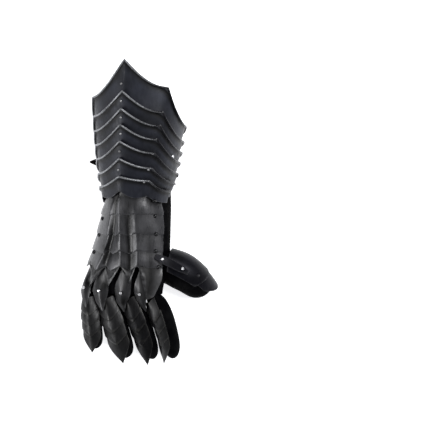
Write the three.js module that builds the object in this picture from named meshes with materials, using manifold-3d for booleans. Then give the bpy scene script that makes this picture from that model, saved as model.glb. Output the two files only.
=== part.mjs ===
import * as THREE from "three";
import { mergeVertices } from "three/addons/utils/BufferGeometryUtils.js";
import Module from "manifold-3d";

// Armoured gauntlet for a right hand, lying palm down. Millimetres, +Z up, +Y towards the elbow, +X towards the
// thumb. Angles are in degrees.
const wasm = await Module();
wasm.setup();
const { Manifold, Mesh: SolidMesh } = wasm;

const PLATE = 1.3; // thickness of every metal plate
const STEP = 1.75; // how far one plate rides above the plate that it covers
const LIP = 1.6; // how far a rolled rim stands out
const LIP_DEPTH = 2.6;
const TUCK = 7; // length of plate hidden under its neighbour
const LEATHER = 2;
const STRAP = 2;
const GAP = 0.35;

const deg = THREE.MathUtils.degToRad;
const vec = (x, y, z) => new THREE.Vector3(x, y, z);
const mix = THREE.MathUtils.lerp;

// A smooth curve through one column of a table whose rows run along `key`.
function read(table, key, column, at) {
  const rising = table[1][key] > table[0][key];
  const rows = rising ? table : [...table].reverse();
  const last = rows.length - 1;
  let n = rows.findIndex((row) => row[key] > at) - 1;
  if (n < 0) n = at < rows[0][key] ? 0 : last - 1;
  const slope = (i) => {
    const lo = rows[Math.max(i - 1, 0)];
    const hi = rows[Math.min(i + 1, last)];
    return (hi[column] - lo[column]) / (hi[key] - lo[key]);
  };
  const a = rows[n];
  const b = rows[n + 1];
  const span = b[key] - a[key];
  const t = THREE.MathUtils.clamp((at - a[key]) / span, 0, 1);
  const t2 = t * t;
  const t3 = t2 * t;
  return (
    (2 * t3 - 3 * t2 + 1) * a[column] + (t3 - 2 * t2 + t) * span * slope(n) +
    (3 * t2 - 2 * t3) * b[column] + (t3 - t2) * span * slope(n + 1)
  );
}

// The cuff: a shell around the forearm with a keel along its back, creases on both sides of it and an open underside.
const CUFF = {
  wristY: 21, wristRadius: 46.5, flare: 0.17, flareFade: 0.0003,
  wristX: -111, lean: 0.055, rest: 0.9,
  roll: 24, rollAtElbow: 17, corner: 43, cornerAtElbow: 52, elbowY: 170,
  side: 110, backBow: 0.45, sideBow: 0.75,
};
// Where each upper rim crosses the keel, the creases and the sides, from the elbow to the wrist; the last row is the
// lower edge of the wrist band.
const RIMS = [
  { keel: 206, left: 161, right: 170, side: 123, end: 112 },
  { keel: 165, left: 135, right: 137, side: 102, end: 96 },
  { keel: 142, left: 115, right: 119, side: 87, end: 81 },
  { keel: 121, left: 96, right: 101, side: 73, end: 67 },
  { keel: 99, left: 77, right: 83, side: 58, end: 54 },
  { keel: 76, left: 57, right: 63, side: 45, end: 43 },
  { keel: 52, left: 39, right: 46, side: 33, end: 32 },
  { keel: 33, left: 26, right: 26, side: 17, end: 17 },
];
const CUFF_ENDS = [
  { left: 141, right: 140 },
  { left: 124, right: 140 },
  { left: 124, right: 140 },
  { left: 124, right: 138 },
  { left: 124, right: 116 },
  { left: 124, right: 102 },
  { left: 124, right: 90 },
];

function cuffRadius(y) {
  const u = y - CUFF.wristY;
  return CUFF.wristRadius + CUFF.flare * u - CUFF.flareFade * u * u;
}

function cuffAxis(y) {
  const u = y - CUFF.wristY;
  return vec(CUFF.wristX + CUFF.lean * u, y, cuffRadius(y) + CUFF.rest);
}

// Point on the cuff: `place` runs from -3 (left end) over -1 (left crease) and 0 (keel) to 3 (right end).
function cuffAngle(place, y, ends) {
  const share = (y - CUFF.wristY) / (CUFF.elbowY - CUFF.wristY);
  const corner = mix(CUFF.corner, CUFF.cornerAtElbow, share);
  const end = place < 0 ? ends.left : ends.right;
  const stops = [0, corner, Math.min(CUFF.side, end - 8), end];
  const n = Math.min(Math.floor(Math.abs(place)), 2);
  return { stops, n, angle: Math.sign(place) * mix(stops[n], stops[n + 1], Math.abs(place) - n), share };
}

function cuffPoint(place, y, lift, ends) {
  const { stops, n, angle, share } = cuffAngle(place, y, ends);
  const high = n === 2 ? stops[1] + 100 : stops[n + 1];
  const half = (high - stops[n]) / 2;
  const chord = Math.cos(deg(half)) / Math.cos(deg(Math.abs(angle) - stops[n] - half));
  const radius = cuffRadius(y) * mix(Math.min(chord, 1), 1, [CUFF.backBow, CUFF.sideBow, 1][n]) + lift;
  const world = deg(angle - mix(CUFF.roll, CUFF.rollAtElbow, share));
  return cuffAxis(y).add(vec(radius * Math.sin(world), 0, radius * Math.cos(world)));
}

function rimY(rim, place) {
  const side = place < 0 ? "left" : "right";
  const names = ["keel", side, "side", "end"];
  const n = Math.min(Math.floor(Math.abs(place)), 2);
  const t = Math.abs(place) - n;
  const curve = n === 0 ? 1 - (1 - t) ** 2 : n === 1 ? 1 - (1 - t) ** 2.3 : t;
  return mix(rim[names[n]], rim[names[n + 1]], curve);
}

// The lower edge of the wrist band hangs in two scallops, one each side of the keel.
function bandEdge(place) {
  const scallop = Math.abs(place) < 1 ? 5 * Math.sin(Math.PI * Math.abs(place)) : 0;
  return rimY(RIMS[7], place) - scallop;
}

// The hand: an oval that leans with the cuff, seen as rings from the wrist to the knuckles.
const HAND = [
  { y: 60, x: -109, z: 53, wide: CUFF.wristRadius - 2.5, deep: CUFF.wristRadius - 2.5, roll: 24, bulge: 3 },
  { y: 34, x: -110.5, z: 49.2, wide: CUFF.wristRadius - 7.3, deep: CUFF.wristRadius - 7.3, roll: 24, bulge: 12 },
  { y: 18, x: -111.8, z: 46.5, wide: CUFF.wristRadius - 6.4, deep: CUFF.wristRadius - 8, roll: 24, bulge: 13 },
  { y: 3, x: -112.3, z: 42, wide: 45.2, deep: 38.2, roll: 23, bulge: 9 },
  { y: -14, x: -113.2, z: 37.5, wide: 49.2, deep: 36, roll: 21, bulge: 5 },
  { y: -49, x: -118.5, z: 32, wide: 55, deep: 30, roll: 20, bulge: 4 },
  { y: -80, x: -125.5, z: 29, wide: 59, deep: 25.5, roll: 19, bulge: 2 },
  { y: -105, x: -131, z: 26.5, wide: 60.5, deep: 19.4, roll: 18, bulge: 0 },
  { y: -135, x: -133, z: 22, wide: 60, deep: 17, roll: 18, bulge: 0 },
];
const STAND = 3; // from the leather to the plates on the back of the hand

function handRing(y) {
  const ring = {};
  for (const name of ["x", "z", "wide", "deep", "roll"]) ring[name] = read(HAND, "y", name, y);
  return ring;
}

// Point over the hand: `turn` is measured round the oval from the line seen straight above its axis.
function handPoint(turn, y, lift) {
  const ring = handRing(y);
  const roll = deg(ring.roll);
  const tilt = Math.atan2(ring.deep * Math.sin(roll), ring.wide * Math.cos(roll));
  const alpha = deg(turn) + tilt;
  const normal = new THREE.Vector2(Math.sin(alpha) / ring.wide, Math.cos(alpha) / ring.deep).normalize();
  const across = ring.wide * Math.sin(alpha) + lift * normal.x;
  const up = ring.deep * Math.cos(alpha) + lift * normal.y;
  return vec(
    ring.x + across * Math.cos(roll) - up * Math.sin(roll), y,
    ring.z + across * Math.sin(roll) + up * Math.cos(roll),
  );
}

// Flutes on the back of the hand: the turn of each ridge and valley, wrist to knuckles, and the ridges' height.
const FLUTES = [
  { y: 34, a: -40, ab: -31, b: -28, bc: -9, c: 4, d: 26, edge: 62, high: 0.2 },
  { y: 20, a: -40, ab: -31, b: -27.5, bc: -8, c: 4, d: 26, edge: 58, high: 0.8 },
  { y: -10, a: -39, ab: -29, b: -21, bc: -7, c: 6, d: 25, edge: 55, high: 3 },
  { y: -41, a: -35, ab: -30, b: -13, bc: 0, c: 12, d: 28, edge: 54, high: 4.2 },
  { y: -76, a: -42, ab: -30, b: -4, bc: 7.5, c: 18.5, d: 36, edge: 60, high: 4.8 },
  { y: -105, a: -46, ab: -27, b: 1, bc: 11.5, c: 23, d: 40, edge: 62, high: 4.6 },
];
// The columns of every back lame. `rise` is the share of the ridge height, `notch` how far the lower edge is drawn
// up there, from 0 at a scale's tip to 1 between two scales.
const COLUMNS = [
  { at: -122, rise: 0, notch: 0.8, lobe: -60 },
  { at: -106, rise: 0, notch: 0.9, lobe: -70 },
  { at: -88, rise: 0, notch: 1, lobe: -74 },
  { at: -70, rise: 0, notch: 1, lobe: -66 },
  { at: -52, rise: 0.4, notch: 0.75, lobe: -82 },
  { line: "a", rise: 1, notch: 0, lobe: -101 },
  { line: "ab", rise: 0, notch: 0.8, lobe: -72 },
  { line: "ab", to: "b", share: 0.4, rise: 0.5, notch: 0, lobe: -100 },
  { line: "b", rise: 1, notch: 0.9, lobe: -70 },
  { line: "b", to: "bc", share: 0.5, rise: 0.45, notch: 0.45, lobe: -86 },
  { line: "bc", rise: 0, notch: 0, lobe: -99 },
  { line: "c", rise: 1, notch: 1, lobe: -64 },
  { line: "c", to: "d", share: 0.7, rise: 0.3, notch: 0.6, lobe: -106 },
  { line: "d", rise: 0, notch: 0.5, lobe: -119 },
  { line: "d", to: "edge", share: 0.5, rise: 0, notch: 0.5, lobe: -115 },
  { line: "edge", rise: 0, notch: 0.5, lobe: -92 },
];
// The lower edges of the back lames: where their tips are and how deep the notches between them go.
const BACK_EDGES = [
  { tip: 0, deep: 1 },
  { tip: -29, deep: 3.5 },
  { tip: -55, deep: 6 },
  { tip: -78, deep: 8 },
  { tip: -101, deep: 0 },
];

function turnOf(column, y) {
  if (column.at) return column.at;
  const from = read(FLUTES, "y", column.line, y);
  return column.to ? mix(from, read(FLUTES, "y", column.to, y), column.share) : from;
}

function backPoint(column, y, lift) {
  const rise = column.rise * read(FLUTES, "y", "high", y);
  return handPoint(turnOf(column, y), y, STAND + rise + lift);
}

function backEdge(k, column) {
  return k === 4 ? column.lobe : BACK_EDGES[k].tip + BACK_EDGES[k].deep * column.notch;
}

// The fingers and the thumb: a bent centre line, a size and the way each one's back faces.
const DIGITS = {
  little: { from: [-179, -112, 16], bend: [-177, -146, 22], to: [-173, -187, 9.3], root: 10.5, wide: 13.5, deep: 12,
    roll: 15 },
  ring: { from: [-153, -112, 22], bend: [-145, -150, 30], to: [-130, -199, 9.8], root: 11.9, wide: 17.9, deep: 13,
    roll: 20 },
  middle: { from: [-121, -112, 30], bend: [-108, -146, 36], to: [-92, -200, 10.1], root: 12.8, wide: 16.3, deep: 13.6,
    roll: 28, taper: 0.87 },
  index: { from: [-89, -112, 37], bend: [-68.2, -146, 42], to: [-61.6, -199, 10.1], root: 14, wide: 15.8, deep: 14.6,
    roll: 42, taper: 0.87 },
};
const THUMB = {
  from: [-74, -72, 36], bend: [-41, -80, 40], to: [-19, -108, 14], root: 20.6, wide: 24, deep: 25, thick: 1.12,
  thickRoot: 1.03, taper: 0.82,
  up: [0.42, 0.6, 0.68],
};
// Lower tips of the finger scales, as shares of the finger; the first number is where the scales begin.
const SCALE_TIPS = [0.16, 0.44, 0.62, 0.8, 1.07];
const SCALE_V = 0.12; // how far a scale's tip runs past its sides
const SCALE_TUCK = 0.055;

function digitFrame(digit, t) {
  const [p0, p1, p2] = [digit.from, digit.bend, digit.to].map((p) => vec(...p));
  const at = p0.clone().multiplyScalar((1 - t) ** 2)
    .addScaledVector(p1, 2 * t * (1 - t)).addScaledVector(p2, t * t);
  const along = p1.clone().sub(p0).multiplyScalar(1 - t).addScaledVector(p2.clone().sub(p1), t).normalize();
  const up = digit.up ? vec(...digit.up) : vec(-Math.sin(deg(digit.roll)), 0, Math.cos(deg(digit.roll)));
  const side = up.clone().cross(along).normalize();
  return { at, side, up: along.clone().cross(side) };
}

// Half the digit's width and half its depth at a share t of its length.
function digitSize(digit, t) {
  const { root, wide, deep, thickRoot = 0.85, thick = 1.04, taper = 0.93 } = digit;
  return t < 0.4
    ? { wide: mix(root, wide, t / 0.4), deep: deep * mix(thickRoot, thick, t / 0.4) }
    : { wide: wide * mix(1, taper, (t - 0.4) / 0.6), deep: deep * mix(thick, 0.9, (t - 0.4) / 0.6) };
}

function digitPoint(digit, t, angle, lift, shrink = 1) {
  const { at, side, up } = digitFrame(digit, t);
  const size = digitSize(digit, t);
  const a = deg(angle);
  return at
    .addScaledVector(side, (size.wide * shrink + lift) * Math.sin(a))
    .addScaledVector(up, (size.deep * shrink + lift) * Math.cos(a));
}

const parts = new THREE.Group();
const LOOKS = {
  metal: { color: "#2b2d33", metalness: 0.8, roughness: 0.4 },
  leather: { color: "#101012", metalness: 0, roughness: 0.7 },
  steel: { color: "#b9bcc2", metalness: 1, roughness: 0.3 },
};

function add(name, look, geometry) {
  const mesh = new THREE.Mesh(geometry, new THREE.MeshStandardMaterial(LOOKS[look]));
  mesh.name = name;
  parts.add(mesh);
}

function facetVolume(points, faces) {
  let volume = 0;
  for (const [a, b, c] of faces) {
    volume += points[a].clone().cross(points[b]).dot(points[c]) / 6;
  }
  return volume;
}

// A closed body from points and triangles, turned the right way out and held above the floor.
function body(points, faces, floor = 0) {
  for (const p of points) p.z = Math.max(p.z, floor);
  const flip = facetVolume(points, faces) < 0;
  const index = faces.flatMap(([a, b, c]) => (flip ? [a, c, b] : [a, b, c]));
  const geometry = new THREE.BufferGeometry();
  geometry.setAttribute("position", new THREE.Float32BufferAttribute(points.flatMap((p) => p.toArray()), 3));
  geometry.setIndex(index);
  return geometry;
}

// A plate between two grids of points: outside(i, j) and inside(i, j) for i in rows and j in columns.
function plate(rows, columns, outside, inside, mirrored = false) {
  const points = [];
  for (const skin of [outside, inside]) {
    for (let i = 0; i < rows; i++) for (let j = 0; j < columns; j++) points.push(skin(i, j));
  }
  const layer = rows * columns;
  const id = (i, j, k) => k * layer + i * columns + j;
  const faces = [];
  for (let i = 0; i < rows - 1; i++) {
    for (let j = 0; j < columns - 1; j++) {
      for (const k of [0, 1]) {
        const [a, b, c, d] = [id(i, j, k), id(i, j + 1, k), id(i + 1, j + 1, k), id(i + 1, j, k)];
        const halves = mirrored && j < (columns - 1) / 2 ? [[a, b, d], [b, c, d]] : [[a, b, c], [a, c, d]];
        faces.push(...(k === 0 ? halves : halves.map(([p, q, r]) => [p, r, q])));
      }
    }
  }
  const rim = [];
  for (let j = 0; j < columns - 1; j++) rim.push([0, j]);
  for (let i = 0; i < rows - 1; i++) rim.push([i, columns - 1]);
  for (let j = columns - 1; j > 0; j--) rim.push([rows - 1, j]);
  for (let i = rows - 1; i > 0; i--) rim.push([i, 0]);
  rim.forEach(([i, j], n) => {
    const [i2, j2] = rim[(n + 1) % rim.length];
    const [a, b, c, d] = [id(i, j, 0), id(i2, j2, 0), id(i2, j2, 1), id(i, j, 1)];
    faces.push([a, c, b], [a, d, c]);
  });
  return body(points, faces);
}

// A closed skin over rings of points, with both ends closed by a fan.
function loft(rings, floor = 0) {
  const around = rings[0].length;
  const points = rings.flat();
  const faces = [];
  for (let i = 0; i < rings.length - 1; i++) {
    for (let j = 0; j < around; j++) {
      const k = (j + 1) % around;
      const [a, b, c, d] = [i * around + j, i * around + k, (i + 1) * around + k, (i + 1) * around + j];
      faces.push([a, b, c], [a, c, d]);
    }
  }
  for (const [ring, turn] of [[0, 1], [rings.length - 1, 0]]) {
    const middle = rings[ring].reduce((sum, p) => sum.add(p), vec(0, 0, 0)).divideScalar(around);
    points.push(middle);
    for (let j = 0; j < around; j++) {
      const [a, b] = [ring * around + j, ring * around + ((j + 1) % around)];
      faces.push(turn ? [points.length - 1, b, a] : [points.length - 1, a, b]);
    }
  }
  return body(points, faces, floor);
}

function solid(geometry) {
  const mesh = new SolidMesh({
    numProp: 3,
    vertProperties: Float32Array.from(geometry.attributes.position.array),
    triVerts: Uint32Array.from(geometry.index.array),
  });
  mesh.merge();
  return new Manifold(mesh);
}

function block(x, y, z) {
  const geometry = new THREE.BoxGeometry(x, y, z);
  geometry.deleteAttribute("normal");
  geometry.deleteAttribute("uv");
  return solid(mergeVertices(geometry));
}

function geometryOf(shape) {
  const mesh = shape.getMesh();
  const geometry = new THREE.BufferGeometry();
  geometry.setAttribute("position", new THREE.Float32BufferAttribute(Float32Array.from(mesh.vertProperties), 3));
  geometry.setIndex([...mesh.triVerts]);
  return geometry;
}

// Cuff plates. Each one's upper rim lies over the plate on its elbow side.
const PLACES = [-3, -2.5, -2, -1.75, -1.5, -1.25, -1, -0.75, -0.5, -0.25, 0, 0.25, 0.5, 0.75, 1, 1.25, 1.5, 1.75, 2,
  2.5, 3];

function cuffRows(k, place) {
  const top = rimY(RIMS[k], place);
  const next = k === 6 ? bandEdge(place) : rimY(RIMS[k + 1], place);
  const under = k === 6 ? STEP : 0;
  return [
    { y: top, lift: STEP + LIP },
    { y: top - LIP_DEPTH, lift: STEP },
    { y: top - TUCK, lift: STEP },
    { y: Math.min(next + (k === 6 ? 4 : 1), top - TUCK - 1), lift: under },
    { y: k === 6 ? next : next - TUCK, lift: under },
  ];
}

for (let k = 0; k < 7; k++) {
  const skin = (thick) => (i, j) => {
    const place = PLACES[j];
    const { y, lift } = cuffRows(k, place)[i];
    return cuffPoint(place, y, lift + thick, CUFF_ENDS[k]);
  };
  add(k === 6 ? "wrist_band" : `cuff_plate_${k + 1}`, "metal", plate(5, PLACES.length, skin(PLATE), skin(0)));
}

// Lames on the back of the hand, each over the next one towards the fingers.
for (let k = 0; k < 5; k++) {
  const rows = (column, j) => {
    const edge = backEdge(k, column);
    const place = mix(-2.1, 1.7, j / (COLUMNS.length - 1));
    const above = k === 0 ? bandEdge(place) : backEdge(k - 1, column);
    const flare = k === 4 ? Math.max(0, -74 - edge) * (j > 10 ? 0.15 : 0.07) : 0;
    const top = above + (k === 0 ? 9 : 6);
    return [
      { y: top, lift: 0 },
      { y: above - 1, lift: k === 0 ? 0 : 0.1 },
      { y: mix(above - 1, edge, 0.55), lift: STEP + 0.6 * flare },
      { y: edge, lift: STEP + flare },
    ];
  };
  const skin = (thick) => (i, j) => {
    const { y, lift } = rows(COLUMNS[j], j)[i];
    return backPoint(COLUMNS[j], y, lift + thick);
  };
  add(`back_lame_${k + 1}`, "metal", plate(4, COLUMNS.length, skin(PLATE), skin(0)));
}

// Knuckle plates: kites with a broad top tucked under the last back lame and a point over the finger.
const KITES = {
  little: { turn: -62, reach: 0.28, aside: -4, lift: 6.3, radius: 12, wide: 8.7 },
  ring: { turn: -31, reach: 0.27, aside: -16, lift: 6.6, radius: 19, wide: 13 },
  middle: { turn: 2, reach: 0.26, aside: -24, lift: 6.8, radius: 17.5, wide: 13 },
  index: { turn: 27, reach: 0.22, aside: -26, lift: 7.6, radius: 20, wide: 10.2 },
};
// Each row's place along the plate, its share of the plate's half width, and how much flatter than the point it is.
const KITE_ROWS = [
  { u: 0, share: 0.46, flat: 4 },
  { u: 0.2, share: 0.66, flat: 3.4 },
  { u: 0.45, share: 0.9, flat: 2 },
  { u: 0.62, share: 1, flat: 1.2 },
  { u: 0.82, share: 0.6, flat: 1 },
  { u: 1, share: 0.08, flat: 1 },
];
const KITE_SIDES = [-1, -0.5, 0, 0.5, 1];
const KITE_SEAT = { u: 0.6, share: 1, flat: 1 }; // where the rivet sits

function kiteLine(name) {
  const kite = KITES[name];
  const digit = DIGITS[name];
  const curve = new THREE.CatmullRomCurve3([
    handPoint(kite.turn, -66, 1),
    handPoint(kite.turn, -80, 1.4),
    handPoint(kite.turn, -94, kite.lift * 0.36),
    handPoint(kite.turn, -102, kite.lift),
    digitPoint(digit, kite.reach * 0.5, kite.aside, kite.lift + 0.8),
    digitPoint(digit, kite.reach, kite.aside, 5.8),
  ]);
  const first = handPoint(kite.turn, -80, 1).sub(handPoint(kite.turn, -80, 0));
  const last = digitFrame(digit, kite.reach).up;
  return { kite, curve, first, last };
}

function kitePoint(line, { u, share, flat }, v, lift) {
  const at = line.curve.getPointAt(u);
  const along = line.curve.getTangentAt(u);
  const up = line.first.clone().lerp(line.last, u);
  const side = up.clone().cross(along).normalize();
  const normal = along.clone().cross(side).normalize();
  const inner = line.kite.radius * flat;
  const angle = (line.kite.wide * share * v) / inner;
  const radius = inner + lift;
  const crease = (1.2 * (1 - Math.abs(v)) * share) / flat;
  return at
    .addScaledVector(side, radius * Math.sin(angle))
    .addScaledVector(normal, radius * Math.cos(angle) - inner + crease);
}

for (const name of Object.keys(KITES)) {
  const line = kiteLine(name);
  const skin = (thick) => (i, j) => kitePoint(line, KITE_ROWS[i], KITE_SIDES[j], thick);
  add(`knuckle_plate_${name}`, "metal", plate(KITE_ROWS.length, KITE_SIDES.length, skin(PLATE), skin(0)));
}

// Finger scales, each over the next one towards the fingertip.
const SCALE_SIDES = [-1, -0.66, -0.33, 0, 0.33, 0.66, 1];
const SCALE_SPREAD = { little: 58, ring: 57, middle: 55, index: 45 };

for (const [name, digit] of Object.entries(DIGITS)) {
  for (let k = 0; k < 4; k++) {
    const edge = (n, v) => SCALE_TIPS[n] - SCALE_V * Math.abs(v) * (n === 4 ? 1.6 : n === 0 ? 0.3 : 1);
    const rows = (v) => [
      { t: edge(k, v) - SCALE_TUCK, lift: 0 },
      { t: edge(k, v), lift: 0.1 },
      { t: edge(k + 1, v) - SCALE_TUCK * 1.3, lift: STEP },
      { t: edge(k + 1, v), lift: STEP + (k === 3 ? 0.4 : 0) },
    ];
    const skin = (thick) => (i, j) => {
      const v = SCALE_SIDES[j];
      const { t, lift } = rows(v)[i];
      const ridge = 1.5 * Math.max(0, 1 - 2.5 * Math.abs(v));
      const narrow = k === 3 && i === 3 ? 0.75 : 1;
      return digitPoint(digit, t, (SCALE_SPREAD[name] - (k ? 0 : 7)) * v * narrow, 0.9 + lift + ridge + thick);
    };
    add(`finger_scale_${name}_${k + 1}`, "metal", plate(4, SCALE_SIDES.length, skin(PLATE), skin(0), true));
  }
}

// Thumb plates: a smooth one over the ball of the thumb and a smaller one that ends in a spur.
const THUMB_PLATES = [
  { name: "thumb_plate", starts: 0.08, tip: 0.76, curve: 0.1, from: -62, to: 80, lift: STEP },
  { name: "thumb_tip_plate", starts: 0.64, tip: 1.06, curve: 0.2, from: -54, to: 70, lift: -0.1 },
];
const THUMB_SIDES = [-1, -0.75, -0.5, -0.25, 0, 0.25, 0.5, 0.75, 1];

for (const { name, starts, tip, curve, from, to, lift } of THUMB_PLATES) {
  const skin = (thick) => (i, j) => {
    const v = THUMB_SIDES[j];
    const edge = tip - curve * (lift ? v * v : Math.abs(v));
    const t = mix(starts + 0.05 * v * v, edge, i / 5);
    const angle = mix(from, to, (v + 1) / 2) * (lift ? 1 : mix(1, 0.8, i / 5));
    return digitPoint(THUMB, t, angle, 1.2 + lift + thick);
  };
  add(name, "metal", plate(6, THUMB_SIDES.length, skin(PLATE), skin(0)));
}

// Leather glove: a sleeve and palm, four finger stalls and a thumb stall.
const AROUND = 22;
const SLEEVE = [96, 80, 60];
const PALM = [46, 34, 18, 3, -14, -32, -49, -66, -80, -95, -105, -112];
const FRONT = -112;

function gloveRing(y, inset) {
  const ring = [];
  for (let n = 0; n < AROUND; n++) {
    const turn = (360 * n) / AROUND;
    if (y > 50) {
      const radius = cuffRadius(y) * 0.9 - 0.5 - inset;
      ring.push(cuffAxis(y).add(vec(radius * Math.sin(deg(turn)), 0, radius * Math.cos(deg(turn)))));
    } else {
      const beyond = deg(Math.min(Math.abs(turn - 112), 50) * 1.8);
      ring.push(handPoint(turn, y, read(HAND, "y", "bulge", y) * Math.cos(beyond) ** 2 - inset));
    }
  }
  return ring;
}

function gloveForm(inset, extra, floor) {
  const stations = [...SLEEVE, ...PALM];
  const rings = stations.map((y, n) => {
    const ring = gloveRing(y, inset);
    if (n === 0) for (const p of ring) p.y += extra;
    if (n === stations.length - 1) for (const p of ring) p.y = FRONT + (extra ? LEATHER : 0);
    return ring;
  });
  return loft(rings, floor);
}

function stallForm(digit, inset, floor, stations) {
  const rings = stations.map(({ t, shrink }) => {
    const ring = [];
    for (let n = 0; n < 14; n++) ring.push(digitPoint(digit, t, (360 * n) / 14, -inset, shrink));
    return ring;
  });
  return loft(rings, floor);
}

const STALL_ENDS = [
  { t: 0.2, shrink: 1 }, { t: 0.4, shrink: 1 }, { t: 0.6, shrink: 1 }, { t: 0.78, shrink: 1 }, { t: 0.9, shrink: 0.97 },
  { t: 0.98, shrink: 0.84 }, { t: 1.04, shrink: 0.58 }, { t: 1.07, shrink: 0.25 },
];
const BORE_ENDS = STALL_ENDS.slice(0, 7);

const THUMB_ROOT = { t: -0.12, shrink: 1.05 };
const thumbOuter = solid(stallForm(THUMB, 0, 0, [THUMB_ROOT, { t: 0.05, shrink: 1 }, ...STALL_ENDS]));
const thumbInner = solid(stallForm(THUMB, LEATHER, LEATHER, [THUMB_ROOT, { t: 0.05, shrink: 1 }, ...BORE_ENDS]));
const palmOuter = solid(gloveForm(0, 0, 0));
const palmInner = solid(gloveForm(LEATHER, 5, LEATHER));
const palmClear = solid(gloveForm(-GAP, 0, 0));

let glove = palmOuter.subtract(palmInner).subtract(thumbInner);
for (const [name, digit] of Object.entries(DIGITS)) {
  const rings = [
    { y: FRONT + 6, out: 0 },
    { y: FRONT - 3, out: 0 },
  ].map(({ y }) => {
    const ring = [];
    for (let n = 0; n < 14; n++) {
      const p = digitPoint(digit, 0, (360 * n) / 14, -LEATHER - 0.6);
      p.y = y;
      ring.push(p);
    }
    return ring;
  });
  glove = glove.subtract(solid(loft(rings, LEATHER)));

  const outer = [{ t: 0, shrink: 1 }, ...STALL_ENDS].map(({ t, shrink }, i) => {
    const ring = [];
    for (let n = 0; n < 14; n++) {
      const p = digitPoint(digit, t, (360 * n) / 14, 0, shrink);
      if (i === 0) p.y = FRONT - GAP;
      ring.push(p);
    }
    return ring;
  });
  const bore = [{ t: 0, shrink: 1 }, ...BORE_ENDS].map(({ t, shrink }, i) => {
    const ring = [];
    for (let n = 0; n < 14; n++) {
      const p = digitPoint(digit, t, (360 * n) / 14, -LEATHER, shrink);
      if (i === 0) p.y = FRONT + 2;
      ring.push(p);
    }
    return ring;
  });
  const stall = solid(loft(outer, 0)).subtract(solid(loft(bore, LEATHER)));
  add(`glove_${name}`, "leather", geometryOf(stall));
}
add("glove_palm", "leather", geometryOf(glove));
const thumbParts = thumbOuter.subtract(thumbInner).subtract(palmClear).decompose();
add("glove_thumb", "leather", geometryOf(thumbParts.sort((a, b) => b.volume() - a.volume())[0]));

// Strap under the cuff: riveted inside the thumb side, passed under the arm and out to the little-finger side.
const STRAP_Y = 75;
const STRAP_WIDE = 15;
const STRAP_LINE = [
  { angle: 82, lift: -5.1 }, { angle: 100, lift: -4.9 }, { angle: 120, lift: -4.2 }, { angle: 138, lift: -3.8 },
  { angle: 160, lift: -3 }, { angle: 182, lift: -3 }, { angle: 204, lift: -2.6 }, { angle: 222, lift: 1 },
  { angle: 236, lift: 5 }, { angle: 252, lift: 5.4 }, { angle: 268, lift: 5.6 }, { angle: 279, lift: 9 },
  { angle: 286, lift: 14 },
];

function strapPoint(i, across, thick) {
  const { angle, lift } = STRAP_LINE[i];
  const world = deg(angle - 26);
  const taper = i === STRAP_LINE.length - 1 ? 0.15 : i === STRAP_LINE.length - 2 ? 0.6 : 1;
  const y = STRAP_Y + across * STRAP_WIDE * 0.5 * taper;
  const radius = cuffRadius(y) + lift + thick;
  return cuffAxis(y).add(vec(radius * Math.sin(world), 0, radius * Math.cos(world)));
}
add("cuff_strap", "leather", plate(STRAP_LINE.length, 3, (i, j) => strapPoint(i, j - 1, STRAP),
  (i, j) => strapPoint(i, j - 1, 0)));

// Strap from the hand to the thumb plate.
const thumbStrapStart = handPoint(48, -60, STAND + STEP + PLATE + 1.2);
const thumbStrapEnd = digitPoint(THUMB, 0.36, -40, 1.2 + STEP + PLATE + 4);

function thumbStrapPoint(i, j, thick) {
  const share = i / 5;
  const start = thumbStrapStart;
  const end = thumbStrapEnd;
  const along = end.clone().sub(start).normalize();
  const at = start.clone().addScaledVector(along, -6).lerp(end.clone().addScaledVector(along, 6), share);
  const up = handPoint(48, -60, 1).sub(handPoint(48, -60, 0)).lerp(digitFrame(THUMB, 0.4).up, share).normalize();
  const side = up.clone().cross(along).normalize();
  const taper = i === 0 || i === 5 ? 0.6 : 1;
  return at.addScaledVector(side, (j - 1) * 6 * taper).addScaledVector(up, thick + 1.5 * Math.sin(Math.PI * share));
}
add("thumb_strap", "metal", plate(6, 3, (i, j) => thumbStrapPoint(i, j, PLATE), (i, j) => thumbStrapPoint(i, j, 0)));

// Domed rivet heads.
function dome(at, up, radius) {
  const side = up.clone().cross(vec(0, 1, 0.1)).normalize();
  const other = up.clone().cross(side).normalize();
  const rings = [[0, 1], [0.45, 0.85], [0.75, 0.5]].map(([rise, wide]) => {
    const ring = [];
    for (let n = 0; n < 8; n++) {
      const a = deg(45 * n);
      ring.push(at.clone().addScaledVector(up, rise * radius * 0.7)
        .addScaledVector(side, Math.cos(a) * wide * radius).addScaledVector(other, Math.sin(a) * wide * radius));
    }
    return ring;
  });
  return loft(rings);
}

for (const name of Object.keys(KITES)) {
  const line = kiteLine(name);
  const at = kitePoint(line, KITE_SEAT, 0, PLATE + GAP);
  const up = kitePoint(line, KITE_SEAT, 0, PLATE + 1).sub(kitePoint(line, KITE_SEAT, 0, PLATE)).normalize();
  add(`rivet_knuckle_${name}`, "steel", dome(at, up, 2.6));
}
const strapTop = (i) => thumbStrapPoint(i, 1, PLATE + 2 * GAP + 0.18);
const strapUp = (i) => thumbStrapPoint(i, 1, 1).sub(thumbStrapPoint(i, 1, 0)).normalize();
add("rivet_thumb_1", "steel", dome(strapTop(1), strapUp(1), 2.6));
add("rivet_thumb_2", "steel", dome(strapTop(4), strapUp(4), 2.6));
const sidePlate = (lift) => cuffPoint(1.55, 80.5, STEP + lift, CUFF_ENDS[3]);
add("rivet_cuff", "steel", dome(sidePlate(PLATE + GAP + 0.2), sidePlate(1).sub(sidePlate(0)).normalize(), 2.6));

// Buckle over the strap, low on the little-finger side.
const BUCKLE = { wide: 21, long: 15, bar: 2.6, deep: 1.8, angle: 248 };

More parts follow.
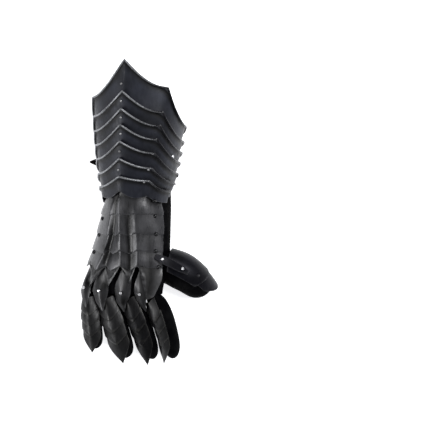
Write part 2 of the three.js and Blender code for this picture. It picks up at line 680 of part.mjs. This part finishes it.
function buckle() {
  const frame = block(BUCKLE.long, BUCKLE.wide, BUCKLE.deep)
    .subtract(block(BUCKLE.long - 2 * BUCKLE.bar, BUCKLE.wide - 2 * BUCKLE.bar, 9));
  const prong = block(BUCKLE.long - 1, 2, BUCKLE.deep * 0.8);
  const world = deg(BUCKLE.angle - 26);
  const out = vec(Math.sin(world), 0, Math.cos(world));
  const place = new THREE.Matrix4().makeBasis(out.clone().cross(vec(0, 1, 0)).negate(), vec(0, 1, 0), out);
  const radius = cuffRadius(STRAP_Y) + 5.3 + STRAP + GAP + BUCKLE.deep * 0.5;
  place.setPosition(cuffAxis(STRAP_Y).addScaledVector(out, radius));
  return geometryOf(frame.add(prong).transform(place.toArray()));
}
add("strap_buckle", "steel", buckle());

// The frame's origin is under the middle of the whole part, on the surface that it lies on.
const box = new THREE.Box3().setFromObject(parts);
const middle = box.getCenter(vec(0, 0, 0));
for (const mesh of parts.children) mesh.geometry.translate(-middle.x, -middle.y, -box.min.z);

export default parts;
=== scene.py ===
import math

import bmesh
import bpy
from mathutils import Matrix, Vector
from mathutils.bvhtree import BVHTree


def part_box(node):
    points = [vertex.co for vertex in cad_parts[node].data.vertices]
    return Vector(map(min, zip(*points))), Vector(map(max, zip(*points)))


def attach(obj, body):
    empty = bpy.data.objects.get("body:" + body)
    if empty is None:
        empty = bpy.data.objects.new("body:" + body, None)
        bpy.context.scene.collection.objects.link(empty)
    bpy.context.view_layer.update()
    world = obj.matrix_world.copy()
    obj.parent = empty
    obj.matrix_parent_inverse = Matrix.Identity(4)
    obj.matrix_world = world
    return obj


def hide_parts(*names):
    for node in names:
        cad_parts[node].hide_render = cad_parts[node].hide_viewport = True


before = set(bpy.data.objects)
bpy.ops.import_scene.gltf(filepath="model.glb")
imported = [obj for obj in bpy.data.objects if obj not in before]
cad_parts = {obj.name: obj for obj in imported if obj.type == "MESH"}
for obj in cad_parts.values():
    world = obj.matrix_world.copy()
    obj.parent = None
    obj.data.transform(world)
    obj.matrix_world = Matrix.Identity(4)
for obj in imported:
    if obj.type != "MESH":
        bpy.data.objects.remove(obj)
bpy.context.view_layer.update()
scene = bpy.context.scene

# Camera
# It looks straight down on the gauntlet, which lies palm down with its fingers towards the lower edge of
# the picture. The other half of the picture is bare ground.
CAMERA_AT = Vector((0.0941, 0.0053, 1.5))
PICTURE_ACROSS = 0.602  # metres seen from side to side at the height of the plates
PLATE_HEIGHT = 0.06
PICTURE_PIXELS = 430
SENSOR_WIDE = 36  # mm

camera_data = bpy.data.cameras.new("camera")
camera_data.sensor_width = SENSOR_WIDE
camera_data.lens = SENSOR_WIDE * (CAMERA_AT.z - PLATE_HEIGHT) / PICTURE_ACROSS
camera = bpy.data.objects.new("camera", camera_data)
camera.location = CAMERA_AT
scene.collection.objects.link(camera)
scene.camera = camera


# Ground and light
# A wide sheet of white paper that glows faintly from below, under an even white room light. Four soft lamps
# give the plates their sheen: one low on the little finger's side, one beyond the elbow, one over the cuff's
# thumb side and a weak one beyond the thumb.
GROUND_ACROSS = 8.0
PAPER_WHITE = (0.9, 0.905, 0.92, 1)
PAPER_ROUGH = 0.9
PAPER_GLOW = 0.88
ROOM_WHITE = (0.96, 0.98, 1.0, 1)
ROOM_STRENGTH = 0.16
LAMPS = [
    {"name": "lamp_left", "at": (-1.3, -0.5, 0.85), "across": 0.7, "watts": 12},
    {"name": "lamp_top", "at": (0.2, 0.9, 1.7), "across": 0.5, "watts": 12},
    {"name": "lamp_over", "at": (0.8, 0.2, 1.3), "across": 0.6, "watts": 13},
    {"name": "lamp_right", "at": (1.5, -0.5, 1.9), "across": 0.9, "watts": 2.5},
]

ground_mesh = bmesh.new()
bmesh.ops.create_grid(ground_mesh, x_segments=1, y_segments=1, size=GROUND_ACROSS / 2)
ground_data = bpy.data.meshes.new("ground")
ground_mesh.to_mesh(ground_data)
ground_mesh.free()
ground = bpy.data.objects.new("ground", ground_data)
scene.collection.objects.link(ground)
paper = bpy.data.materials.new("white_paper")
paper.use_nodes = True
paper_shader = paper.node_tree.nodes["Principled BSDF"]
paper_shader.inputs["Base Color"].default_value = PAPER_WHITE
paper_shader.inputs["Roughness"].default_value = PAPER_ROUGH
paper_shader.inputs["Specular IOR Level"].default_value = 0.0
paper_shader.inputs["Emission Color"].default_value = PAPER_WHITE
paper_shader.inputs["Emission Strength"].default_value = PAPER_GLOW
ground_data.materials.append(paper)

room = bpy.data.worlds.new("white_room")
room.use_nodes = True
room.node_tree.nodes["Background"].inputs["Color"].default_value = ROOM_WHITE
room.node_tree.nodes["Background"].inputs["Strength"].default_value = ROOM_STRENGTH
scene.world = room
scene.view_settings.view_transform = "Standard"

for lamp in LAMPS:
    lamp_data = bpy.data.lights.new(lamp["name"], "AREA")
    lamp_data.shape = "DISK"
    lamp_data.size = lamp["across"]
    lamp_data.energy = lamp["watts"]
    lamp_object = bpy.data.objects.new(lamp["name"], lamp_data)
    lamp_object.location = lamp["at"]
    lamp_object.rotation_euler = (-Vector(lamp["at"])).to_track_quat("-Z", "Y").to_euler()
    scene.collection.objects.link(lamp_object)


# Cuff plates
# Six chevron plates of blackened steel that cover the forearm. Each is raised over a stake to a keel
# down its middle, has its upper edge rolled outwards, and is riveted to leathers inside.
MM = 0.001
MERGE = 0.01 * MM
JOIN_FLAT = 35  # degrees between triangles that are one facet
JOIN_SQUARE = 60  # degrees that a joined facet's corners may be off square
SMOOTH_LEVELS = 2
CREASE_MOST = 0.7
CREASE_OVER = 30  # degrees of turn from no crease to a full one
WORN_AT = 38  # degrees of turn at which a ridge is rubbed most
CREASE_SHADE_AT = 24  # degrees of turn at which the painted shade in a hollow is darkest
METAL_SHARE = 0.45  # the rest of the shine is the oil's
CLOUD_CELLS = 28  # cells of noise a metre
RUB_CELLS = 160
SCUFF_CELLS = 420
SCUFF_STRETCH = (1, 0.12, 1)
DENT_CELLS, DENT_DETAIL, DENT_DEEP = 45, 2, 0.5 * MM
PIT_CELLS, PIT_DETAIL, PIT_DEEP = 900, 3, 0.03 * MM
CLOUDS = [(0.3, 0.55), (0.7, 1.25)]  # stops of (what is read, grey)
# Painted shade in the hollows: stops of (the hollow's turn, grey)
CREASE_SHADE = [(0.0, 1), (0.7, 0.12)]
RUBS = [(0.38, 0.15), (0.62, 1)]
SATIN = [(0.35, -0.07), (0.7, 0.1)]  # stops of (noise, change of roughness)
CUFF_PLATES = [f"cuff_plate_{n}" for n in range(1, 7)]
CUFF_BLACK = (0.016, 0.018, 0.027)
RUBBED_STEEL = (0.07, 0.072, 0.08)


def grain(tree, cells, detail=5, stretch=(1, 1, 1)):
    """Noise on the object's own coordinates, with so many cells a metre."""
    place = tree.nodes.new("ShaderNodeTexCoord")
    turn = tree.nodes.new("ShaderNodeMapping")
    turn.inputs["Scale"].default_value = stretch
    noise = tree.nodes.new("ShaderNodeTexNoise")
    noise.inputs["Scale"].default_value = cells
    noise.inputs["Detail"].default_value = detail
    tree.links.new(place.outputs["Object"], turn.inputs["Vector"])
    tree.links.new(turn.outputs["Vector"], noise.inputs["Vector"])
    return noise.outputs["Fac"]


def ramp(tree, value, stops):
    """A ramp of (position, grey) stops read from a value."""
    node = tree.nodes.new("ShaderNodeValToRGB")
    for element, (position, grey) in zip(node.color_ramp.elements, stops):
        element.position = position
        element.color = (grey, grey, grey, 1)
    tree.links.new(value, node.inputs["Fac"])
    return node.outputs["Color"]


def mixed(tree, factor, first, second, how="MIX"):
    """Two colours, as sockets or values, mixed by a factor."""
    node = tree.nodes.new("ShaderNodeMix")
    node.data_type = "RGBA"
    node.blend_type = how
    sockets = {"Factor": node.inputs[0], "A": node.inputs[6], "B": node.inputs[7]}  # those for colours
    for name, given in (("Factor", factor), ("A", first), ("B", second)):
        if isinstance(given, bpy.types.NodeSocket):
            tree.links.new(given, sockets[name])
        elif name == "Factor":
            sockets[name].default_value = given
        else:
            sockets[name].default_value = (*given, 1)
    return node.outputs[2]


def attribute(tree, name):
    """A value that the mesh holds for each of its corners."""
    node = tree.nodes.new("ShaderNodeAttribute")
    node.attribute_name = name
    return node.outputs["Fac"]


def relief(tree, heights, shader):
    """Bumps laid over one another, each (height socket, depth in metres)."""
    last = None
    for height, depth in heights:
        bump = tree.nodes.new("ShaderNodeBump")
        bump.inputs["Distance"].default_value = depth
        bump.inputs["Strength"].default_value = 1.0
        tree.links.new(height, bump.inputs["Height"])
        if last:
            tree.links.new(last, bump.inputs["Normal"])
        last = bump.outputs["Normal"]
    tree.links.new(last, shader.inputs["Normal"])


def blackened_steel(name, colour, worn, wear_from, roughness, shine=0.45):
    """Steel blackened in oil: satin and rubbed lighter on its ridges, with painted shade darkening its
    hollows.
    """
    material = bpy.data.materials.new(name)
    material.use_nodes = True
    tree = material.node_tree
    shader = tree.nodes["Principled BSDF"]
    shader.inputs["Metallic"].default_value = METAL_SHARE
    shader.inputs["Specular IOR Level"].default_value = shine
    oil = mixed(tree, 1.0, colour, ramp(tree, grain(tree, CLOUD_CELLS), CLOUDS), "MULTIPLY")
    # Painted shade: the oil's colour is darkened in the hollows, where shade falls.
    oil = mixed(tree, 1.0, oil, ramp(tree, attribute(tree, "crease_shade"), CREASE_SHADE), "MULTIPLY")
    edges = ramp(tree, attribute(tree, "wear"), [(wear_from, 0), (1.0, 1)])
    rubbed = mixed(tree, 1.0, edges, ramp(tree, grain(tree, RUB_CELLS), RUBS), "MULTIPLY")
    tree.links.new(mixed(tree, rubbed, oil, worn), shader.inputs["Base Color"])
    scuffs = grain(tree, SCUFF_CELLS, stretch=SCUFF_STRETCH)
    satin = ramp(tree, scuffs, [(at, roughness + change) for at, change in SATIN])
    tree.links.new(satin, shader.inputs["Roughness"])
    dents = grain(tree, DENT_CELLS, DENT_DETAIL)
    pits = grain(tree, PIT_CELLS, PIT_DETAIL)
    relief(tree, [(dents, DENT_DEEP), (pits, PIT_DEEP)], shader)
    return material


def smooth_mesh(name, shape):
    """The finished shape as a smooth-shaded mesh."""
    data = bpy.data.meshes.new(name)
    shape.to_mesh(data)
    shape.free()
    for face in data.polygons:
        face.use_smooth = True
    return data


def placed(name, data, material):
    """A piece of the part, on its one body."""
    data.materials.append(material)
    piece = bpy.data.objects.new(name, data)
    scene.collection.objects.link(piece)
    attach(piece, "root")
    return piece


def softened(node, name, material, sharp=48, chamfer=0.28, crisp=24):
    """The node's own shape as smooth sheet with eased edges, in the node's place."""
    shape = bmesh.new()
    shape.from_mesh(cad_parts[node].data)
    bmesh.ops.remove_doubles(shape, verts=shape.verts, dist=MERGE)
    bmesh.ops.join_triangles(
        shape,
        faces=shape.faces,
        angle_face_threshold=math.radians(JOIN_FLAT),
        angle_shape_threshold=math.radians(JOIN_SQUARE),
    )
    edges = [e for e in shape.edges if e.calc_face_angle(0) > math.radians(sharp)]
    bmesh.ops.bevel(
        shape, geom=edges, offset=chamfer * MM, segments=1, profile=0.5, affect="EDGES", material=-1,
        clamp_overlap=True,
    )
    crease = shape.edges.layers.float.new("crease_edge")
    # wear marks the raised edges for rubbing, and the next layer marks the hollows for painted shade.
    wear = shape.verts.layers.float.new("wear")
    crease_shade = shape.verts.layers.float.new("crease_shade")
    for edge in shape.edges:
        turn = math.degrees(edge.calc_face_angle(0))
        edge[crease] = min(CREASE_MOST, max(0.0, (turn - crisp) / CREASE_OVER))
        raised = edge.calc_face_angle_signed(0) > 0
        layer, most = (wear, WORN_AT) if raised else (crease_shade, CREASE_SHADE_AT)
        for vert in edge.verts:
            vert[layer] = max(vert[layer], min(1.0, turn / most))
    piece = placed(name, smooth_mesh(name, shape), material)
    smoothing = piece.modifiers.new("smooth", "SUBSURF")
    smoothing.levels = SMOOTH_LEVELS
    smoothing.render_levels = SMOOTH_LEVELS
    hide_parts(node)


cuff_steel = blackened_steel(
    "blackened_cuff_steel", CUFF_BLACK, RUBBED_STEEL, wear_from=0.86, roughness=0.46
)
for node in CUFF_PLATES:
    softened(node, f"{node}_shell", cuff_steel)


# Rolled rims
# The upper edge of each cuff plate and of the wrist band is turned over a wire into a thin round roll.
# The rolls are painted light grey on the back of the arm as a painted highlight, and fade to a painted
# shade, near black, on the thumb side of it.
RIM_RADIUS = 1.3 * MM
RIM_CORNER = 24  # degrees of turn at which the roll is bent sharp, as over the keel
ELBOW_WAY = Vector((0, 1, 0))
EDGE_TURN = 48  # degrees between the sheet's skin and its narrow edge
EDGE_FACES = 0.5  # the least that the narrow edge faces the elbow
SKIN_FACES = 0.75  # the most that the skin does
SKIN_OUTWARD = 0.35  # the least that the skin faces away from the arm
ROLL_SIDES = 3
ROLL_STEPS = 4
# The rims' grey is a painted highlight, and their near black on the thumb side is a painted shade.
RIM_HIGHLIGHT_GREY = (0.22, 0.225, 0.24)
RIM_RUBBED = (0.46, 0.47, 0.48)
RIM_SHADE_BLACK = (0.012, 0.012, 0.015)
HIGHLIGHT_TO = -0.008  # metres across the arm up to which the painted highlight holds
SHADE_FROM = 0.016


def outer_edge(node, way):
    """Points along the node's outer edge on the side that `way` points to, in order."""
    shape = bmesh.new()
    shape.from_mesh(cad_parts[node].data)
    bmesh.ops.remove_doubles(shape, verts=shape.verts, dist=MERGE)
    low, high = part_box(node)
    axis = Vector(((low.x + high.x) / 2, 0, (low.z + high.z) / 2))
    found = {}
    for edge in shape.edges:
        if len(edge.link_faces) != 2 or edge.calc_face_angle(0) < math.radians(EDGE_TURN):
            continue
        middle = (edge.verts[0].co + edge.verts[1].co) / 2 - axis
        middle.y = 0
        first, second = edge.link_faces
        for rim, skin in ((first, second), (second, first)):
            outward = skin.normal.dot(middle.normalized()) > SKIN_OUTWARD
            across = abs(skin.normal.dot(way)) < SKIN_FACES
            if rim.normal.dot(way) > EDGE_FACES and outward and across:
                for a, b in ((0, 1), (1, 0)):
                    found.setdefault(edge.verts[a].index, set()).add(edge.verts[b].index)
    ends = [v for v, others in found.items() if len(others) == 1]
    shape.verts.ensure_lookup_table()
    best = []
    for start in ends:
        path = [start]
        while True:
            onward = [v for v in found[path[-1]] if v not in path]
            if not onward:
                break
            path.append(onward[0])
        if len(path) > len(best):
            best = path
    points = [shape.verts[v].co.copy() for v in best]
    shape.free()
    return points


def roll(name, points, radius, material):
    """A round roll along the points, bent smoothly but for sharp corners."""
    line = bpy.data.curves.new(name, "CURVE")
    line.dimensions = "3D"
    line.bevel_depth = radius
    line.bevel_resolution = ROLL_SIDES
    line.resolution_u = ROLL_STEPS
    line.use_fill_caps = True
    spline = line.splines.new("BEZIER")
    spline.bezier_points.add(len(points) - 1)
    for n, (knot, point) in enumerate(zip(spline.bezier_points, points)):
        knot.co = point
        inside = 0 < n < len(points) - 1
        bend = (points[n] - points[n - 1]).angle(points[n + 1] - points[n]) if inside else 0
        kind = "VECTOR" if bend > math.radians(RIM_CORNER) else "AUTO"
        knot.handle_left_type = knot.handle_right_type = kind
    placed(name, line, material)


def shaded_across(material, colour, highlight_to, shade_from):
    """The material's colour faded across the arm to another one, a painted shade."""
    tree = material.node_tree
    place = tree.nodes.new("ShaderNodeTexCoord")
    across = tree.nodes.new("ShaderNodeSeparateXYZ")
    fade = tree.nodes.new("ShaderNodeMapRange")
    fade.inputs["From Min"].default_value = highlight_to
    fade.inputs["From Max"].default_value = shade_from
    tree.links.new(place.outputs["Object"], across.inputs["Vector"])
    tree.links.new(across.outputs["X"], fade.inputs["Value"])
    base = tree.nodes["Principled BSDF"].inputs["Base Color"]
    tree.links.new(mixed(tree, fade.outputs["Result"], base.links[0].from_socket, colour), base)


rim_steel = blackened_steel("painted_highlight_rim_steel", RIM_HIGHLIGHT_GREY, RIM_RUBBED, wear_from=0.9, roughness=0.26)
# Painted shade: the rims' painted highlight fades to near black towards the thumb side.
shaded_across(rim_steel, RIM_SHADE_BLACK, HIGHLIGHT_TO, SHADE_FROM)
for node in CUFF_PLATES + ["wrist_band"]:
    points = outer_edge(node, ELBOW_WAY)
    for point in points:
        point.z = max(point.z, RIM_RADIUS)  # the lowest corners stand on the ground
    roll(f"{node}_rim", points, RIM_RADIUS, rim_steel)


# Cuff studs
# Small domed studs: one on the keel over each rolled rim, and one on each rim where the plate turns down
# to the thumb side.
STUD_PLACES = {  # picture pixels, from the elbow to the wrist
    "keel": [(121.3, 83.6), (121, 101), (120.8, 117.4), (120.6, 133.8), (119.5, 151.5), (118.3, 170)],
    "side": [(162.6, 112.4), (160.2, 126), (156.4, 139.6), (152.4, 153.8), (148.4, 169.6), (144.2, 182)],
}
STUD_RADIUS, STUD_HIGH = 1.7 * MM, 1.4 * MM
DOME_AROUND, DOME_UP = 16, 10  # facets of a whole ball
# Painted highlight: the dark studs are painted light grey where they would catch the light.
STUD_HIGHLIGHT_GREY = (0.3, 0.3, 0.31)
STUD_RUBBED = (0.5, 0.5, 0.5)


def surface(nodes):
    """A tree of the nodes' faces that rays are cast on."""
    joined = bmesh.new()
    for node in nodes:
        joined.from_mesh(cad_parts[node].data)
    tree = BVHTree.FromBMesh(joined)
    joined.free()
    return tree


def spots_on(nodes, places):
    """Where the camera's lines through picture pixels meet the nodes, and the way their skin faces."""
    tree = surface(nodes)
    scale = PICTURE_ACROSS / PICTURE_PIXELS
    half = PICTURE_PIXELS / 2
    found = []
    for across, down in places:
        ray = Vector(((across - half) * scale, (half - down) * scale, PLATE_HEIGHT - CAMERA_AT.z))
        at, normal, _, _ = tree.ray_cast(CAMERA_AT, ray.normalized())
        if at:
            found.append((at, normal))
    return found


def domes(name, spots, radius, high, material):
    """Low domed heads, let into the surface by half their height."""
    heads = bmesh.new()
    for at, normal in spots:
        turn = normal.to_track_quat("Z", "Y").to_matrix().to_4x4()
        squash = Matrix.Diagonal((1, 1, high / radius, 1))
        bmesh.ops.create_uvsphere(
            heads,
            u_segments=DOME_AROUND,
            v_segments=DOME_UP,
            radius=radius,
            matrix=Matrix.Translation(at) @ turn @ squash,
        )
    placed(name, smooth_mesh(name, heads), material)


stud_steel = blackened_steel(
    "painted_highlight_stud_steel", STUD_HIGHLIGHT_GREY, STUD_RUBBED, wear_from=0.9, roughness=0.22
)
for row, places in STUD_PLACES.items():
    spots = spots_on(CUFF_PLATES + ["wrist_band"], places)
    domes(f"cuff_studs_{row}", spots, STUD_RADIUS, STUD_HIGH, stud_steel)


# Wrist band
# One scalloped steel band that joins the cuff to the back of the hand. Its upper edge is rolled like those
# of the cuff plates, and its scallops hang over the first back lame.
softened("wrist_band", "wrist_band_shell", cuff_steel)


# Back lames
# Five fluted lames over the back of the hand, of the same blackened steel, that slide over one another
# on leathers. The flutes run on from lame to lame and end in pointed lobes over the knuckles.
BACK_LAMES = [f"back_lame_{n}" for n in range(1, 6)]
HAND_BLACK = (0.028, 0.028, 0.03)
HAND_RUBBED_AND_HIGHLIGHT = (0.06, 0.06, 0.063)
LAME_BLACK = (0.058, 0.058, 0.063)  # the first four are lighter than the last, over the knuckles
# Its ridges are lightened from a low turn on: partly rubbed wear, partly a painted highlight along the
# flutes.
hand_steel = blackened_steel("blackened_hand_steel", HAND_BLACK, HAND_RUBBED_AND_HIGHLIGHT, wear_from=0.55, roughness=0.36)
lame_steel = blackened_steel("blackened_lame_steel", LAME_BLACK, LAME_BLACK, wear_from=0.9, roughness=0.32)
for node in BACK_LAMES:
    steel = hand_steel if node == BACK_LAMES[-1] else lame_steel
    softened(node, f"{node}_shell", steel, sharp=55, crisp=11)


# Lame rivets
# A row of domed rivets down each side of the back of the hand, blackened like the lames. They hold the
# lames to their leathers.
LAME_RIVETS = {  # picture pixels, from the wrist to the knuckles
    "thumb_side": [(154.4, 200.7), (155.4, 216), (156.2, 234), (155.8, 251), (158.6, 267)],
    "little_side": [(104.6, 200.7), (102.4, 218.5), (99, 234.9), (93.8, 252), (89.2, 267.8)],
}
LAME_RIVET_RADIUS, LAME_RIVET_HIGH = 3 * MM, 2.6 * MM
RIVET_BLACK = (0.012, 0.012, 0.014)
rivet_steel = blackened_steel(
    "blackened_rivet_steel", RIVET_BLACK, RUBBED_STEEL, wear_from=0.9, roughness=0.2
)
for row, places in LAME_RIVETS.items():
    spots = spots_on(BACK_LAMES + ["wrist_band"], places)
    domes(f"lame_rivets_{row}", spots, LAME_RIVET_RADIUS, LAME_RIVET_HIGH, rivet_steel)


# Knuckle plates
# A kite-shaped plate of the same steel over each knuckle, raised to a low pyramid and fixed by one bright
# rivet in its middle.
FINGERS = ["little", "ring", "middle", "index"]
for finger in FINGERS:
    node = f"knuckle_plate_{finger}"
    softened(node, f"{node}_shell", hand_steel, crisp=10)


# Finger scales
# Four pointed scales of the same steel down the back of each finger, each over the next. They are fixed to
# the leather of the stall, and those of the middle finger are the blackest.
SCALES_A_FINGER = 4
SCALE_BLACK = (0.014, 0.014, 0.015)
SCALE_RUBBED = (0.045, 0.044, 0.042)
MIDDLE_BLACK = (0.006, 0.006, 0.007)
MIDDLE_RUBBED = (0.026, 0.025, 0.024)
scale_steel = blackened_steel(
    "blackened_scale_steel", SCALE_BLACK, SCALE_RUBBED, wear_from=0.84, roughness=0.38
)
middle_steel = blackened_steel(
    "blackened_middle_steel", MIDDLE_BLACK, MIDDLE_RUBBED, wear_from=0.84, roughness=0.42, shine=0.25
)
for finger in FINGERS:
    steel = middle_steel if finger == "middle" else scale_steel
    for n in range(1, SCALES_A_FINGER + 1):
        node = f"finger_scale_{finger}_{n}"
        softened(node, f"{node}_shell", steel, crisp=14)


# Thumb plates
# A broad plate over the ball of the thumb and one with a spur over its tip, both domed and painted a deeper
# black than the other plates as painted shade on the thumb side. They hang from the hand on a steel strap
# with a rivet at each end.
THUMB_PIECES = ["thumb_plate", "thumb_tip_plate", "thumb_strap"]
THUMB_RIVETS = [(158.6, 266.9), (198.4, 275.7)]  # picture pixels: by the hand, and over the tip plate
THUMB_RIVET_RADIUS, THUMB_RIVET_HIGH = 2.2 * MM, 1.5 * MM
# Painted shade: the thumb's steel is darker than the rest because it faces away from the main lamp.
THUMB_SHADE_BLACK = (0.004, 0.004, 0.007)
THUMB_RUBBED = (0.02, 0.02, 0.023)
thumb_steel = blackened_steel(
    "thumb_steel_painted_shade", THUMB_SHADE_BLACK, THUMB_RUBBED, wear_from=0.9, roughness=0.42, shine=0.22
)
for node in THUMB_PIECES:
    softened(node, f"{node}_shell", thumb_steel)
# The two rivets take the rims' steel, with its painted highlight and painted shade.
spots = spots_on(THUMB_PIECES + BACK_LAMES, THUMB_RIVETS)
domes("thumb_side_rivets", spots, THUMB_RIVET_RADIUS, THUMB_RIVET_HIGH, rim_steel)


# Glove
# A lined glove of soft black leather that the plates are fixed to: a sleeve and palm in one, four finger
# stalls and a thumb stall.
GLOVE_BLACK = (0.0015, 0.0015, 0.002)
CREASE_GREY = (0.0045, 0.0045, 0.005)
LEATHER_SHINE = 0.01
HANDLED_CELLS = 70
HANDLED = [(0.42, 0), (0.7, 1)]
WRINKLE_CELLS, WRINKLE_DETAIL, WRINKLE_DEEP = 110, 4, 0.9 * MM
WRINKLE_STRETCH = (1, 2.2, 1)
PEBBLE_CELLS, PEBBLE_DEEP = 1100, 0.12 * MM


def soft_leather(name, colour, worn, roughness):
    """Grained leather: a pebbled skin over soft wrinkles, a little lighter where it is rubbed."""
    material = bpy.data.materials.new(name)
    material.use_nodes = True
    tree = material.node_tree
    shader = tree.nodes["Principled BSDF"]
    shader.inputs["Specular IOR Level"].default_value = LEATHER_SHINE
    shader.inputs["Roughness"].default_value = roughness
    rub = ramp(tree, grain(tree, HANDLED_CELLS), HANDLED)
    tree.links.new(mixed(tree, rub, colour, worn), shader.inputs["Base Color"])
    place = tree.nodes.new("ShaderNodeTexCoord")
    pebbles = tree.nodes.new("ShaderNodeTexVoronoi")
    pebbles.inputs["Scale"].default_value = PEBBLE_CELLS
    tree.links.new(place.outputs["Object"], pebbles.inputs["Vector"])
    wrinkles = grain(tree, WRINKLE_CELLS, WRINKLE_DETAIL, WRINKLE_STRETCH)
    relief(tree, [(wrinkles, WRINKLE_DEEP), (pebbles.outputs["Distance"], PEBBLE_DEEP)], shader)
    return material


glove_leather = soft_leather("glove_leather", GLOVE_BLACK, CREASE_GREY, roughness=0.62)
for node in ["glove_palm", "glove_thumb"] + [f"glove_{finger}" for finger in FINGERS]:
    softened(node, f"{node}_skin", glove_leather, sharp=60, chamfer=0.5)


# Glove seams
# The finger stalls are sewn from a front and a back, with a narrow welt down each side and a row of waxed
# stitches beside each welt.
WELT_RADIUS = 0.55 * MM
STITCH_LONG = 1.5 * MM
STITCH_RADIUS = 0.32 * MM
STITCH_EVERY = 3.2 * MM
STITCH_ASIDE = 1.5 * MM
STITCH_AROUND, STITCH_UP = 6, 5  # facets of a stitch
SEAM_STEPS = 18
SEAM_FROM, SEAM_TO = 0.06, 0.9  # shares of the stall's length, from its root to its tip
SLICE = 9 * MM  # half the length of stall that each step takes its middle from
RAY_FROM = 60 * MM
STALL_SIDES = {"outer": Vector((0.85, 0, -0.5)), "inner": Vector((-0.85, 0, -0.5))}
THREAD_BLACK = (0.012, 0.012, 0.013)
THREAD_WORN = (0.03, 0.03, 0.03)


def side_line(node, way):
    """Points down one side of a stall, each with the way the leather faces there."""
    tree = surface([node])
    low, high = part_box(node)
    corners = [v.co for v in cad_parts[node].data.vertices]
    found = []
    for n in range(SEAM_STEPS):
        share = SEAM_FROM + (SEAM_TO - SEAM_FROM) * n / (SEAM_STEPS - 1)
        reach = high.y + (low.y - high.y) * share
        near = [c for c in corners if abs(c.y - reach) < SLICE]
        if not near:
            continue
        centre = sum(near, Vector()) / len(near)
        centre.y = reach
        start = centre + way.normalized() * RAY_FROM
        at, normal, _, _ = tree.ray_cast(start, -way.normalized())
        if at:
            at.z = max(at.z, 2 * WELT_RADIUS)  # clear of the ground that the stall is pressed against
            found.append((at, normal))
    return found


def stitches(name, line, material):
    """Short sewn stitches that follow a line over the leather, set off to one side of it."""
    row = bmesh.new()
    left = 0.0
    for (a, normal), (b, _) in zip(line, line[1:]):
        step = b - a
        while left < step.length:
            way = step.normalized()
            side = normal.cross(way).normalized()
            at = a + way * left + side * STITCH_ASIDE
            at.z = max(at.z, 2 * STITCH_RADIUS)
            turn = Matrix((side, normal.cross(side).normalized(), normal)).transposed().to_4x4()
            size = Matrix.Diagonal((STITCH_RADIUS, STITCH_LONG / 2, STITCH_RADIUS, 1))
            bmesh.ops.create_uvsphere(
                row,
                u_segments=STITCH_AROUND,
                v_segments=STITCH_UP,
                radius=1,
                matrix=Matrix.Translation(at) @ turn @ size,
            )
            left += STITCH_EVERY
        left -= step.length
    placed(name, smooth_mesh(name, row), material)


thread = soft_leather("waxed_thread", THREAD_BLACK, THREAD_WORN, roughness=0.45)
for finger in FINGERS:
    for side, way in STALL_SIDES.items():
        seam = f"glove_{finger}_{side}"
        line = side_line(f"glove_{finger}", way)
        roll(f"{seam}_welt", [at for at, _ in line], WELT_RADIUS, glove_leather)
        stitches(f"{seam}_stitches", line, thread)


# Cuff strap and buckle
# A strap of smooth black leather that closes the cuff under the forearm. It runs from the rivet on the
# thumb side to a plain polished steel buckle, and its tip shows on the little finger's side.
STRAP_BLACK = (0.007, 0.006, 0.006)
STRAP_WORN = (0.02, 0.018, 0.017)
POLISHED = (0.62, 0.62, 0.64)
SCRATCH_CELLS = 700
SCRATCHED = [(0.35, 0), (0.7, 0.15)]
strap_leather = soft_leather("strap_leather", STRAP_BLACK, STRAP_WORN, roughness=0.5)
softened("cuff_strap", "cuff_strap_leather", strap_leather)


def bright_steel(name, colour, roughness):
    """Polished steel with fine scratches."""
    material = bpy.data.materials.new(name)
    material.use_nodes = True
    tree = material.node_tree
    shader = tree.nodes["Principled BSDF"]
    shader.inputs["Base Color"].default_value = (*colour, 1)
    shader.inputs["Metallic"].default_value = 1.0
    scratches = grain(tree, SCRATCH_CELLS)
    worn = ramp(tree, scratches, [(at, roughness + change) for at, change in SCRATCHED])
    tree.links.new(worn, shader.inputs["Roughness"])
    return material


polished = bright_steel("polished_steel", POLISHED, roughness=0.22)
softened("strap_buckle", "strap_buckle_frame", polished)


# Rivets
# Domed heads of polished steel: one on each knuckle plate, two on the strap of the thumb plates, and one on
# the cuff's side where the leather strap starts.
RIVETS = [f"rivet_knuckle_{finger}" for finger in FINGERS] + ["rivet_thumb_1", "rivet_thumb_2", "rivet_cuff"]
for node in RIVETS:
    softened(node, f"{node}_head", polished, sharp=60, chamfer=0.15)
